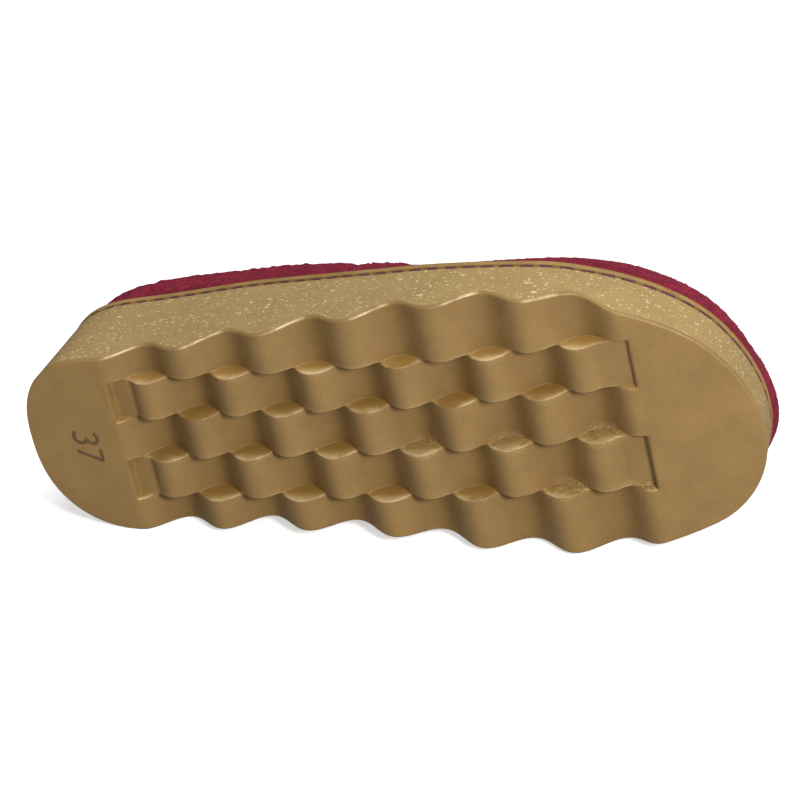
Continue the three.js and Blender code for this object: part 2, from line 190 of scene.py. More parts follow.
def end_round(distance, length, power):
    rest = np.maximum(0, 1 - distance / length)
    return np.maximum(0, 1 - rest**power) ** (1 / power)


def plan_middle(x):
    return BALL_HALF_WIDTH * column(PLAN_ROWS, "middle", x / SOLE_LENGTH)


def plan_half(x):
    full = BALL_HALF_WIDTH * column(PLAN_ROWS, "half", x / SOLE_LENGTH)
    heel = end_round(x, HEEL_ROUND_LENGTH, HEEL_ROUND_POWER)
    toe = end_round(SOLE_LENGTH - x, TOE_ROUND_LENGTH, TOE_ROUND_POWER)
    return full * heel * toe


def spring_z(x):
    run = np.maximum(0, x - SPRING_START) / (SOLE_LENGTH - SPRING_START)
    return TOE_SPRING * run * run


def wall_top_z(x):
    return HEEL_WALL_HEIGHT * column(WALL_ROWS, "height", x / SOLE_LENGTH)


def rim_top_z(x):
    return wall_top_z(x) + RIM_HEIGHT * column(RIM_ROWS, "height", x / SOLE_LENGTH)


def lean_x(x, z):
    along = x / SOLE_LENGTH
    return x + (z - spring_z(x)) * (HEEL_LEAN * (1 - along) - TOE_LEAN * along)


def soft_step(value):
    """0 below -1, 1 above 1, smooth between."""
    t = np.clip((value + 1) / 2, 0, 1)
    return t * t * (3 - 2 * t)


def lane_depth(lane, x):
    """Height of a lane's floor over the flat underside."""
    is_middle = lane["heel_pit"] > 0
    first, last = MIDDLE_CRESTS if is_middle else SIDE_CRESTS
    wave = lane["depth"] / 2 * (1 - np.cos(2 * math.pi * (x - first) / WAVE_PITCH))
    heel = np.minimum(wave, lane["heel_pit"])
    toe = np.minimum(wave, lane["toe_pit"])
    if is_middle:
        heel = heel * soft_step((x - PIT_ENDS[0]) / PIT_SOFTNESS)
        toe = toe * soft_step((PIT_ENDS[1] - x) / PIT_SOFTNESS)
    return np.where(x < first, heel, np.where(x > last, toe, wave))


def lane_edge(index, x):
    lane = LANE_ROWS[index]
    return lane["edge"] + lane["drift"] * x / SOLE_LENGTH


def tread_z(x, y):
    """Height of the tread's surface."""
    z = lane_depth(LANE_ROWS[0], x)
    for i in range(len(LANE_ROWS) - 1):
        step = lane_depth(LANE_ROWS[i + 1], x) - lane_depth(LANE_ROWS[i], x)
        z = z + step * soft_step((y - lane_edge(i, x)) / LANE_SOFTNESS)
    return spring_z(x) + z


def step_share(x, y):
    """1 on the steep faces between two lanes, 0 on the lanes."""
    share = np.zeros(np.shape(x))
    for i in range(len(LANE_ROWS) - 1):
        step = abs(lane_depth(LANE_ROWS[i + 1], x) - lane_depth(LANE_ROWS[i], x))
        near = np.clip(1.25 - abs(y - lane_edge(i, x)) / LANE_SOFTNESS, 0, 1)
        share = np.maximum(share, near * np.clip(step / 1.5, 0, 1))
    return share


def edge_highlight_share(x, y):
    """1 on the outward edges between two lanes, where a pale highlight is painted."""
    share = np.zeros(np.shape(x))
    for i in range(len(LANE_ROWS) - 1):
        step = lane_depth(LANE_ROWS[i + 1], x) - lane_depth(LANE_ROWS[i], x)
        place = (y - lane_edge(i, x)) / LANE_SOFTNESS * np.sign(step)
        near = np.exp(-(((place + 0.75) / 0.5) ** 2))
        share = np.maximum(share, near * np.clip(abs(step) / 3.0, 0, 1))
    return share


def hollow_share(x, y):
    """0 on the crests, 1 at the bottom of the troughs."""
    return np.clip((tread_z(x, y) - spring_z(x)) / 9.0, 0, 1)


def crumble_share(x, y):
    """1 in the middle of the crumbled faces."""
    share = np.zeros(np.shape(x))
    for along, across, length, width in CRUMBLED:
        reach = ((x - along) / length) ** 2 + ((y - across) / width) ** 2
        share = np.maximum(share, np.clip(1.6 - 1.6 * reach, 0, 1))
    return share


def stations(count):
    """Places along the sole, close together at both ends."""
    return SOLE_LENGTH / 2 * (1 - np.cos(np.pi * np.arange(count + 1) / count))


def plan_ring(xs, offset, height_at):
    """Closed outline at heights along the shoe: outer side to the toe, inner side back."""
    walk = np.concatenate([xs, xs[-2:0:-1]])
    side = np.concatenate([-np.ones(len(xs)), np.ones(len(xs) - 2)])
    shift = lean_x(walk, height_at(walk)) - walk
    points = np.stack([walk + shift, plan_middle(walk) + side * plan_half(walk)], 1)
    run = np.roll(points, -1, 0) - np.roll(points, 1, 0)
    run = run / np.linalg.norm(run, axis=1, keepdims=True)
    x = points[:, 0] + run[:, 1] * offset
    y = points[:, 1] - run[:, 0] * offset
    return np.stack([x, y, height_at(x - shift)], 1)


def to_row(points):
    """From the shoe's frame in millimetres to the row frame in metres."""
    return (np.asarray(points) @ LAY_TURN.T + LAY_PLACE) * MM


def close_up(mesh, merge_mm):
    """Joins points closer than merge_mm and turns all faces outwards."""
    bm = bmesh.new()
    bm.from_mesh(mesh)
    if merge_mm:
        bmesh.ops.remove_doubles(bm, verts=bm.verts, dist=merge_mm * MM)
    bmesh.ops.recalc_face_normals(bm, faces=bm.faces)
    bm.to_mesh(mesh)
    bm.free()


def new_object(name, points, faces, shoe_frame=True, merge=0.0):
    """A mesh object, laid down in the row frame."""
    mesh = bpy.data.meshes.new(name)
    places = to_row(points) if shoe_frame else np.asarray(points)
    kept = [list(dict.fromkeys(f)) for f in faces]
    mesh.from_pydata(places.tolist(), [], [f for f in kept if len(f) > 2])
    if merge:
        close_up(mesh, merge)
    mesh.validate()
    made = bpy.data.objects.new(name, mesh)
    bpy.context.scene.collection.objects.link(made)
    return made


def smooth(made):
    made.data.polygons.foreach_set("use_smooth", [True] * len(made.data.polygons))
    made.data.update()
    return made


def ring_faces(rings, count, looped=False):
    """Quads between rings of the same number of points, numbered one ring after another."""
    faces = []
    last = rings if looped else rings - 1
    for r in range(last):
        low = r * count
        high = (r + 1) % rings * count
        for i in range(count):
            j = (i + 1) % count
            faces.append((low + i, low + j, high + j, high + i))
    return faces


def tube_faces(start, rings, sides):
    """Sides and both ends of a tube, whose points start at a number."""
    faces = []
    for k in range(rings - 1):
        for j in range(sides):
            a = start + k * sides + j
            b = start + k * sides + (j + 1) % sides
            faces.append((a, a + sides, b + sides, b))
    end = start + (rings - 1) * sides
    faces.append(tuple(start + j for j in range(sides)))
    faces.append(tuple(end + sides - 1 - j for j in range(sides)))
    return faces


def prism_faces(count):
    """Sides and both ends between two outlines of the same number of points."""
    faces = ring_faces(2, count)
    faces.append(tuple(range(count - 1, -1, -1)))
    faces.append(tuple(range(count, 2 * count)))
    return faces


def apply_modifiers(made):
    """The object with its modifiers made real."""
    graph = bpy.context.evaluated_depsgraph_get()
    mesh = bpy.data.meshes.new_from_object(
        made.evaluated_get(graph), preserve_all_data_layers=True, depsgraph=graph
    )
    made.modifiers.clear()
    old = made.data
    made.data = mesh
    bpy.data.meshes.remove(old)
    return made


def cut(made, other, operation):
    """Joins or cuts a closed body with another, which is used up."""
    modifier = made.modifiers.new("cut", "BOOLEAN")
    modifier.solver = "MANIFOLD"
    modifier.operation = operation
    modifier.object = other
    apply_modifiers(made)
    bpy.data.objects.remove(other)
    return made


# Outsole


def lines_across(low, high, xs):
    """Places across the tread, in rows from the outer to the inner edge."""
    near_edge = (0.0, 0.5, 1.2, 2.2)
    at_step = np.array((1.5, 1.0, 0.84, 0.66, 0.5, 0.36, 0.26, 0.16, 0.06))
    at_step = LANE_SOFTNESS * np.concatenate([-at_step, at_step[::-1]])
    between = (13, 8, 8, 8, 13)
    rows = [low + d for d in near_edge]
    start = low + near_edge[-1]
    for i in range(len(LANE_ROWS)):
        if i < len(LANE_ROWS) - 1:
            end = lane_edge(i, xs) + at_step[0]
        else:
            end = high - near_edge[-1]
        for k in range(1, between[i]):
            rows.append(start + (end - start) * k / between[i])
        if i < len(LANE_ROWS) - 1:
            rows.extend(lane_edge(i, xs) + d for d in at_step)
            start = lane_edge(i, xs) + at_step[-1]
    rows.extend(high - d for d in near_edge[::-1])
    grid = np.clip(np.array(rows), low, high)
    return np.maximum.accumulate(grid, axis=0)


def make_outsole():
    extra = []
    for end in PIT_ENDS:
        extra.extend(end + PIT_SOFTNESS * d for d in PIT_COLUMNS)
    even = [x for x in stations(SOLE_COLUMNS) if min(abs(x - e) for e in extra) > PIT_COLUMN_ROOM]
    xs = np.array(sorted(even + extra))
    last = len(xs) - 1
    count = 2 * last

    def ring_at(offset, rise):
        flat = plan_ring(xs, offset, spring_z)
        z = tread_z(flat[:, 0], flat[:, 1]) + rise
        return np.stack([flat[:, 0], flat[:, 1], z], 1)

    radius = TREAD_EDGE_RADIUS
    inset = plan_ring(xs, -radius, spring_z)
    outer = inset[: last + 1]
    inner = inset[(count - np.arange(last + 1)) % count]
    across = lines_across(outer[:, 1], inner[:, 1], outer[:, 0])
    width = np.maximum(inner[:, 1] - outer[:, 1], 1e-9)
    share = (across - outer[:, 1]) / width
    along = outer[:, 0] + (inner[:, 0] - outer[:, 0]) * share
    rows = len(across)
    points = np.stack([along, across, tread_z(along, across)], 2).reshape(-1, 3)
    faced = step_share(along, across).reshape(-1)
    crumbled = crumble_share(along, across).reshape(-1)
    hollow = hollow_share(along, across).reshape(-1)
    edge_highlight = edge_highlight_share(along, across).reshape(-1)
    rng = np.random.default_rng(11)
    lump_size = CRUMB_HEIGHT * crumbled * (0.2 + faced)
    points = points + rng.uniform(-1, 1, (len(points), 3)) * lump_size[:, None]
    faces = []
    for r in range(rows - 1):
        for k in range(last):
            a = r * (last + 1) + k
            faces.append((a, a + last + 1, a + last + 2, a + 1))
    skin = [np.ones(len(points))]

    rings = [ring_at(-radius, 0)]
    ring_skin = [1.0]
    for angle in EDGE_ANGLES:
        turn = math.radians(angle)
        rings.append(ring_at(radius * (math.sin(turn) - 1), radius * (1 - math.cos(turn))))
        ring_skin.append(1.0 - SKIN_LOST_AT_EDGE * angle / 90)
    foot = rings[-1]
    top = plan_ring(xs, 0, lambda x: wall_top_z(x) - GROOVE_HEIGHT)
    walk = np.concatenate([xs, xs[-2:0:-1]])
    for rise, value in SKIN_FADE:
        z = foot[:, 2] + rise
        rings.append(np.stack([lean_x(walk, z), foot[:, 1], z], 1))
        ring_skin.append(value)
    base = rings[-1]
    for k in range(1, WALL_RINGS + 1):
        z = base[:, 2] + (top[:, 2] - 0.5 - base[:, 2]) * k / WALL_RINGS
        rings.append(np.stack([lean_x(walk, z), foot[:, 1], z], 1))
        ring_skin.append(0.0)
    for offset, rise in GROOVE_PROFILE:
        rings.append(plan_ring(xs, offset, lambda x: wall_top_z(x) - GROOVE_HEIGHT + rise))
        ring_skin.append(0.0)
    start = len(points)
    faces.extend(tuple(start + i for i in f) for f in ring_faces(len(rings), count))
    points = np.concatenate([points] + rings)
    skin.extend(np.full(count, v) for v in ring_skin)
    plain = np.zeros(len(points) - len(faced))
    # Painted highlight on the rounded tread edge, where the edge rises from one column to the next
    edge_height = tread_z(foot[:, 0], foot[:, 1]) - spring_z(foot[:, 0])
    rising = np.clip(np.gradient(edge_height), 0, RISE_FOR_FULL_HIGHLIGHT) / RISE_FOR_FULL_HIGHLIGHT
    rising[last + 1 :] = 0
    painted_highlight = plain.copy()
    for row in range(1, 1 + len(EDGE_ANGLES)):
        painted_highlight[row * count : (row + 1) * count] = rising
    masks = {
        "skin": np.concatenate(skin),
        "faced": np.concatenate([faced, plain]),
        "crumbled": np.concatenate([crumbled, plain]),
        "hollow": np.concatenate([hollow, plain]),
        "edge_highlight": np.concatenate([edge_highlight, painted_highlight]),
    }
    roof = start + (len(rings) - 1) * count
    for k in range(last):
        a = roof + (count - k) % count
        b = roof + count - k - 1
        faces.append((roof + k, roof + k + 1, b, a))
    mesh = bpy.data.meshes.new("outsole_rubber")
    mesh.from_pydata(to_row(points).tolist(), [], faces)
    for label, values in masks.items():
        layer = mesh.attributes.new(label, "FLOAT", "POINT")
        layer.data.foreach_set("value", values.astype(np.float32))
    close_up(mesh, MERGE)
    made = bpy.data.objects.new("outsole_rubber", mesh)
    bpy.context.scene.collection.objects.link(made)
    return smooth(made)


# Welt and seam


def make_welt():
    """The strip round the top of the side wall, as one closed ring with rounded edges."""
    xs = stations(WELT_COLUMNS)
    count = 2 * (len(xs) - 1)
    profile = [(-WELT_THICKNESS, 0.0), (WELT_PROUD - WELT_FOOT_RADIUS, 0.0)]
    for angle in (30, 60, 90):
        turn = math.radians(angle)
        offset = WELT_PROUD + WELT_FOOT_RADIUS * (math.sin(turn) - 1)
        profile.append((offset, WELT_FOOT_RADIUS * (1 - math.cos(turn))))
    for angle in (0, 25, 50, 75, 90):
        turn = math.radians(angle)
        offset = WELT_PROUD + WELT_TOP_RADIUS * (math.cos(turn) - 1)
        profile.append((offset, WELT_HEIGHT + WELT_TOP_RADIUS * (math.sin(turn) - 1)))
    profile.append((-WELT_THICKNESS, WELT_HEIGHT))
    rings = []
    for offset, rise in profile:
        rings.append(plan_ring(xs, offset, lambda x: wall_top_z(x) + PIECE_GAP + rise))
    faces = ring_faces(len(rings), count, looped=True)
    return smooth(new_object("welt_strip", np.concatenate(rings), faces))


STITCH_PITCHES = (5.8, 7.0)
STITCH_SHARES = (0.68, 0.84)
STITCH_INSET = 0.35
STITCH_DROP = 0.42
STITCH_WANDER = 0.25
STITCH_VARIETY = (0.92, 1.06)
STITCH_TILT = 0.12
# The last part of each stitch dives into the wall
SINK_START = 0.72
SINK_DEPTH = 1.1
STRAND_RADIUS = 0.27
STRAND_TWIST = 0.20
STRAND_TURNS = 2.1
STRAND_TAPER = 0.35
STRAND_STEPS = 18
STRAND_SIDES = 7


def make_stitches():
    """Twisted two-ply stitches in the groove under the welt."""
    path = plan_ring(stations(SEAM_COLUMNS), -STITCH_INSET, lambda x: wall_top_z(x) - STITCH_DROP)
    path = np.concatenate([path, path[:1]])
    run = np.concatenate([[0], np.cumsum(np.linalg.norm(np.diff(path, axis=0), axis=1))])
    total = run[-1]
    rng = np.random.default_rng(7)
    starts = []
    s = 0.0
    while s < total - STITCH_PITCHES[0] / 2:
        toe_share = np.interp(s, run, path[:, 0]) / SOLE_LENGTH
        pitch = STITCH_PITCHES[0] + (STITCH_PITCHES[1] - STITCH_PITCHES[0]) * toe_share
        share = STITCH_SHARES[0] + (STITCH_SHARES[1] - STITCH_SHARES[0]) * toe_share
        starts.append((s, pitch, share))
        s += pitch
    points = []
    faces = []

    def at(s):
        s = s % total
        return np.array([np.interp(s, run, path[:, c]) for c in range(3)])

    for place, pitch, share in starts:
        middle = place + pitch / 2 + rng.uniform(-STITCH_WANDER, STITCH_WANDER)
        half = pitch * share / 2 * rng.uniform(*STITCH_VARIETY)
        tilt = rng.uniform(-STITCH_TILT, STITCH_TILT)
        for strand in (0, 1):
            start = len(points)
            for k in range(STRAND_STEPS + 1):
                t = -1 + 2 * k / STRAND_STEPS
                s = middle + t * half
                centre = at(s)
                ahead = at(s + 0.2) - centre
                ahead /= np.linalg.norm(ahead)
                up = np.array([0.0, 0.0, 1.0])
                out = np.cross(ahead, up)
                out /= np.linalg.norm(out)
                up = np.cross(out, ahead)
                sink = -SINK_DEPTH * max(0.0, abs(t) - SINK_START) / (1 - SINK_START)
                turn = math.pi * (2 * STRAND_TURNS * k / STRAND_STEPS + strand)
                centre = centre + out * (sink + STRAND_TWIST * math.sin(turn))
                centre = centre + up * (STRAND_TWIST * math.cos(turn) + tilt * t)
                size = STRAND_RADIUS * (1 - STRAND_TAPER * abs(t) ** 6)
                for j in range(STRAND_SIDES):
                    a = 2 * math.pi * j / STRAND_SIDES
                    points.append(centre + size * (out * math.cos(a) + up * math.sin(a)))
            faces.extend(tube_faces(start, STRAND_STEPS + 1, STRAND_SIDES))
    return smooth(new_object("seam_stitches", np.array(points), faces))


# Size number: plain dark strokes of one width, on the heel's flat

DIGIT_HEIGHT = 8.6
DIGIT_WIDTH = 4.9
DIGIT_CORNER = (24.2, 1.2)
DIGIT_TURN = 9.0
DIGIT_SPACE = 1.6
STROKE_RADIUS = 0.62
STROKE_RISE = 0.2
STROKE_SIDES = 10


def bow(centre_x, centre_y, reach_x, reach_y, start, end, count=18):
    """Points of a bow of an ellipse, angles in degrees."""
    turns = np.radians(np.linspace(start, end, count))
    return [(centre_x + reach_x * math.cos(a), centre_y + reach_y * math.sin(a)) for a in turns]


def make_digits():
    """A three and a seven, read with the toe end as their top."""
    three = bow(2.3, 6.5, 2.2, 2.0, 150, -80) + bow(2.3, 2.3, 2.4, 2.2, 82, -150)
    bar = [(0.1 + 4.4 * k / 10, 8.5) for k in range(11)]
    stem = [(4.5 - 2.9 * k / 14, 8.5 - 8.4 * k / 14) for k in range(1, 15)]
    turn = math.radians(DIGIT_TURN)
    points = []
    faces = []
    for digit, strokes in enumerate((three, bar + stem)):
        path = []
        for across, up in strokes:
            x = -(DIGIT_HEIGHT - up)
            y = across + digit * (DIGIT_WIDTH + DIGIT_SPACE)
            side_y = DIGIT_CORNER[1] + y * math.cos(turn) + x * math.sin(turn)
            path.append((DIGIT_CORNER[0] + x * math.cos(turn), side_y))
        path = np.array(path)
        run = np.gradient(path, axis=0)
        run = run / np.linalg.norm(run, axis=1, keepdims=True)
        start = len(points)
        for (x, y), (dx, dy) in zip(path, run):
            for j in range(STROKE_SIDES):
                a = 2 * math.pi * j / STROKE_SIDES
                side = STROKE_RADIUS * math.cos(a)
                points.append((x - dy * side, y + dx * side, -STROKE_RISE * math.sin(a)))
        faces.extend(tube_faces(start, len(path), STROKE_SIDES))
    return smooth(new_object("size_number", np.array(points, float), faces, merge=0.0005))


# Upper and insole


def last_form(name, inset, drop):
    """Full form of the foot inside or outside the felt."""
    xs = stations(FORM_COLUMNS)
    foot_at = lambda x: wall_top_z(x) + PIECE_GAP - drop
    base = plan_ring(xs, -WELT_THICKNESS - PIECE_GAP - inset, foot_at)
    count = len(base)
    index = np.arange(count)
    is_outer = index <= FORM_COLUMNS
    station = np.clip(xs[np.where(is_outer, index, count - index)], HEEL_RIDGE_X, TOE_RIDGE_X)
    share = station / SOLE_LENGTH
    ridge_x = lean_x(station, foot_at(station))
    ridge_y = plan_middle(station) + column(RIDGE_ROWS, "shift", share)
    ridge_height = INSTEP_HEIGHT * column(RIDGE_ROWS, "height", share)
    top_z = wall_top_z(station) + PIECE_GAP + ridge_height - inset
    outer = column(RIDGE_ROWS, "outer", share)
    inner = column(RIDGE_ROWS, "inner", share)
    lean = np.where(is_outer, outer, inner)
    for tip in (0, FORM_COLUMNS):
        near = np.minimum(abs(index - tip), count - abs(index - tip))
        blend = np.clip(1 - near / TIP_BLEND_COLUMNS, 0, 1) * 0.5
        lean = lean * (1 - blend) + np.where(is_outer, inner, outer) * blend
    rings = []
    for j in range(FORM_STEPS + 1):
        angle = math.pi / 2 * j / FORM_STEPS
        rise = math.sin(angle)
        inward = lean * rise + (1 - lean) * (1 - math.cos(angle))
        if j == FORM_STEPS:
            inward = np.ones(count)
        x = base[:, 0] + (ridge_x - base[:, 0]) * inward
        y = base[:, 1] + (ridge_y - base[:, 1]) * inward
        z = base[:, 2] + (top_z - base[:, 2]) * rise
        rings.append(np.stack([x, y, z], 1))
    faces = ring_faces(len(rings), count)
    for k in range(FORM_COLUMNS):
        a = (count - k) % count
        b = count - k - 1
        faces.append((k, a, b, k + 1))
    return new_object(name, np.concatenate(rings), faces, merge=0.002)


def behind_vamp(name, forward, low, high):
    """Upright block over everything behind the vamp's edge."""
    side = 120.0
    end = 20.0
    plan = [(-end, -side), (THROAT_SIDE_X + forward, -side)]
    middle = float(plan_middle(np.array(THROAT_CENTRE_X)))
    for i in range(61):
        across = -1 + 2 * i / 60
        curve = max(0.0, math.cos(math.pi / 2 * across)) ** THROAT_POWER
        x = THROAT_SIDE_X + (THROAT_CENTRE_X - THROAT_SIDE_X) * curve
        plan.append((x + forward, middle + THROAT_HALF_WIDTH * across))
    plan.extend([(THROAT_SIDE_X + forward, side), (-end, side)])
    count = len(plan)
    points = [(x, y, low) for x, y in plan] + [(x, y, high) for x, y in plan]
    return new_object(name, np.array(points, float), prism_faces(count), merge=0.001)


def height_band(name, low_at, high_at):
    """Everything between two heights that follow the length of the shoe."""
    xs = np.concatenate([[-20.0], stations(90), [SOLE_LENGTH + 20.0]])
    profile = [(x, z) for x, z in zip(xs, low_at(xs))]
    profile += [(x, z) for x, z in zip(xs[::-1], high_at(xs[::-1]))]
    count = len(profile)
    points = [(x, -120.0, z) for x, z in profile] + [(x, 120.0, z) for x, z in profile]
    return new_object(name, np.array(points, float), prism_faces(count), merge=0.001)


def ring_block(name, inner_offset, outer_offset, low_at, high_at):
    xs = stations(FORM_COLUMNS)
    rings = [
        plan_ring(xs, inner_offset, low_at),
        plan_ring(xs, outer_offset, low_at),
        plan_ring(xs, outer_offset, high_at),
        plan_ring(xs, inner_offset, high_at),
    ]
    faces = ring_faces(4, len(rings[0]), looped=True)
    return new_object(name, np.concatenate(rings), faces, merge=0.001)


def paint(made, material):
    """One material all over."""
    made.data.materials.clear()
    made.data.materials.append(material)
    made.data.polygons.foreach_set("material_index", [0] * len(made.data.polygons))


def settle(made, voxel, rounds):
    """Even small faces all over a soft body, with its edges rounded as pressed felt has them."""
    remesh = made.modifiers.new("even", "REMESH")
    remesh.mode = "VOXEL"
    remesh.voxel_size = voxel * MM
    remesh.adaptivity = 0.0
    soften = made.modifiers.new("soften", "SMOOTH")
    soften.factor = 0.5
    soften.iterations = rounds
    apply_modifiers(made)
    return smooth(made)


def roughen(made, lump_mm, height_mm):
    """Small uneven lumps all over, as boiled felt has them."""
    mesh = made.data
    count = len(mesh.vertices)
    places = np.empty(count * 3, np.float32)
    normals = np.empty(count * 3, np.float32)
    mesh.vertices.foreach_get("co", places)
    mesh.vertex_normals.foreach_get("vector", normals)
    places = places.reshape(-1, 3)
    scaled = (places / (lump_mm * MM)).tolist()
    lumps = np.array([noise.noise(Vector(p)) for p in scaled], np.float32)
    places = places + normals.reshape(-1, 3) * (lumps * height_mm * MM)[:, None]
    mesh.vertices.foreach_set("co", places.reshape(-1))
    mesh.update()
    return made


LUMP_SIZE = 2.0
LUMP_HEIGHT = 0.34
NAP_COUNT = 26000
NAP_LENGTHS = (0.7, 1.9)
NAP_WIDTH = 0.11
NAP_ROOT_DEPTH = 0.12
NAP_LIFT = (8, 55)


def make_nap(name, ground, seed):
    """Short loose fibres that lean over the felt, each one a thin closed tetrahedron."""
    rng = np.random.default_rng(seed)
    mesh = ground.data
    centres = np.empty(len(mesh.polygons) * 3, np.float32)
    normals = np.empty(len(mesh.polygons) * 3, np.float32)
    mesh.polygons.foreach_get("center", centres)
    mesh.polygons.foreach_get("normal", normals)
    picked = rng.choice(len(mesh.polygons), NAP_COUNT, replace=False)
    foot = centres.reshape(-1, 3)[picked] / MM
    up = normals.reshape(-1, 3)[picked]
    loose = rng.normal(size=(NAP_COUNT, 3))
    along = np.cross(up, loose)
    along /= np.linalg.norm(along, axis=1, keepdims=True)
    side = np.cross(up, along)
    lift = np.radians(rng.uniform(*NAP_LIFT, NAP_COUNT))[:, None]
    length = rng.uniform(*NAP_LENGTHS, NAP_COUNT)[:, None]
    foot = foot - up * NAP_ROOT_DEPTH
    tip = foot + length * (along * np.cos(lift) + up * np.sin(lift))
    wide = NAP_WIDTH / 2
    corners = np.stack([foot - side * wide, foot + side * wide, foot + up * wide * 2, tip], 1)
    points = corners.reshape(-1, 3) * MM
    faces = []
    for i in range(0, 4 * NAP_COUNT, 4):
        faces += [(i, i + 1, i + 2), (i, i + 3, i + 1), (i + 1, i + 3, i + 2), (i + 2, i + 3, i)]
    made = new_object(name, points, faces, shoe_frame=False)
    close_up(made.data, 0.0)
    return made


def make_upper():
    flat = lambda value: (lambda x: np.full(np.shape(x), float(value)))
    vamp = last_form("vamp", -VAMP_STEP, FOOT_DROP)
    cut(vamp, behind_vamp("behind", 0.0, -20.0, 160.0), "DIFFERENCE")
    felt = last_form("upper_felt", 0.0, FOOT_DROP)
    cut(felt, vamp, "UNION")
    opening = behind_vamp("opening", 0.02, -20.0, 159.0)
    cut(opening, height_band("over_rim", rim_top_z, flat(160)), "INTERSECT")
    cut(felt, opening, "DIFFERENCE")
    roof = lambda x: wall_top_z(x) + WELT_HEIGHT + 2 * PIECE_GAP
    room = ring_block("welt_room", -WELT_THICKNESS - PIECE_GAP, 20.0, flat(0), roof)
    cut(felt, room, "DIFFERENCE")
    cut(felt, height_band("below", flat(-20), lambda x: wall_top_z(x) + PIECE_GAP), "DIFFERENCE")
    cut(felt, last_form("hollow", FELT_WALL, HOLLOW_DROP), "DIFFERENCE")
    return roughen(settle(felt, FELT_VOXEL, 4), LUMP_SIZE, LUMP_HEIGHT)


def make_insole():
    bed = last_form("insole_felt", FELT_WALL + PIECE_GAP, HOLLOW_DROP)
    low = lambda x: wall_top_z(x) + PIECE_GAP
    high = lambda x: wall_top_z(x) + PIECE_GAP + INSOLE_THICKNESS
    cut(bed, height_band("slab", low, high), "INTERSECT")
    return settle(bed, INSOLE_VOXEL, 3)


# Materials


class Nodes:
    """Short names for making and joining the nodes of one tree."""

    def __init__(self, tree):
        self.tree = tree
        self.x = 0

    def add(self, kind, values=None, links=None, **settings):
        node = self.tree.nodes.new(kind)
        self.x += 180
        node.location = (self.x, 0)
        for name, value in settings.items():
            setattr(node, name, value)
        for socket, value in (values or {}).items():
            node.inputs[socket].default_value = value
        for socket, source in (links or {}).items():
            self.tree.links.new(source, node.inputs[socket])
        return node

    def math(self, operation, a, b=0.0, c=None):
        node = self.add("ShaderNodeMath", operation=operation)
        for i, value in enumerate((a, b) if c is None else (a, b, c)):
            if isinstance(value, (int, float)):
                node.inputs[i].default_value = value
            else:
                self.tree.links.new(value, node.inputs[i])
        return node.outputs[0]

    def mix(self, share, a, b):
        node = self.add("ShaderNodeMix", data_type="RGBA")
        for socket, value in ((node.inputs[0], share), (node.inputs[6], a), (node.inputs[7], b)):
            if isinstance(value, (int, float)):
                socket.default_value = value
            elif isinstance(value, tuple):
                socket.default_value = value
            else:
                self.tree.links.new(value, socket)
        return node.outputs[2]

    def ramp(self, source, low, high):
        node = self.add("ShaderNodeMapRange", links={"Value": source})
        node.interpolation_type = "SMOOTHSTEP"
        node.inputs["From Min"].default_value = low
        node.inputs["From Max"].default_value = high
        return node.outputs["Result"]


def new_group(name, inputs, outputs):
    tree = bpy.data.node_groups.new(name, "ShaderNodeTree")
    for label, value in inputs:
        socket = tree.interface.new_socket(label, in_out="INPUT", socket_type="NodeSocketFloat")
        socket.default_value = value
    for label in outputs:
        tree.interface.new_socket(label, in_out="OUTPUT", socket_type="NodeSocketFloat")
    nodes = Nodes(tree)
    entry = nodes.add("NodeGroupInput")
    way_out = nodes.add("NodeGroupOutput")
    return nodes, entry, way_out


def make_fleck_group():
    """Scattered flecks: mask, and a random tone for each."""
    nodes, entry, way_out = new_group(
        "scattered_flecks",
        [("Pitch mm", 1.5), ("Share", 0.3), ("Size", 0.5), ("Stretch", 0.0)],
        ["Mask", "Tone"],
    )
    place = nodes.add("ShaderNodeTexCoord").outputs["Object"]
    bend = nodes.add("ShaderNodeTexNoise", {"Scale": 900.0, "Detail": 1.0}, {"Vector": place})
    shift = nodes.add("ShaderNodeVectorMath", links={0: bend.outputs["Color"]}, operation="SCALE")
    shift.inputs["Scale"].default_value = 0.0007
    bent = nodes.add("ShaderNodeVectorMath", links={0: place, 1: shift.outputs[0]}, operation="ADD")
    scale = nodes.math("DIVIDE", 1000.0, entry.outputs["Pitch mm"])
    axes = nodes.add("ShaderNodeSeparateXYZ", links={0: bent.outputs[0]})
    shorter = nodes.math("SUBTRACT", 1.0, entry.outputs["Stretch"])
    along = nodes.math("MULTIPLY", axes.outputs[0], shorter)
    drawn = nodes.add(
        "ShaderNodeCombineXYZ", links={0: along, 1: axes.outputs[1], 2: axes.outputs[2]}
    )
    cells = nodes.add(
        "ShaderNodeTexVoronoi", {"Randomness": 1.0}, {"Vector": drawn.outputs[0], "Scale": scale}
    )
    split = nodes.add("ShaderNodeSeparateColor", links={"Color": cells.outputs["Color"]})
    is_there = nodes.math("LESS_THAN", split.outputs["Red"], entry.outputs["Share"])
    size_share = nodes.math("MULTIPLY_ADD", split.outputs["Green"], 0.7, 0.3)
    reach = nodes.math("MULTIPLY", entry.outputs["Size"], size_share)
    inside = nodes.math("SUBTRACT", reach, cells.outputs["Distance"])
    soft = nodes.ramp(inside, 0.0, 0.08)
    mask = nodes.math("MULTIPLY", soft, is_there)
    nodes.tree.links.new(mask, way_out.inputs["Mask"])
    nodes.tree.links.new(split.outputs["Blue"], way_out.inputs["Tone"])
    return nodes.tree


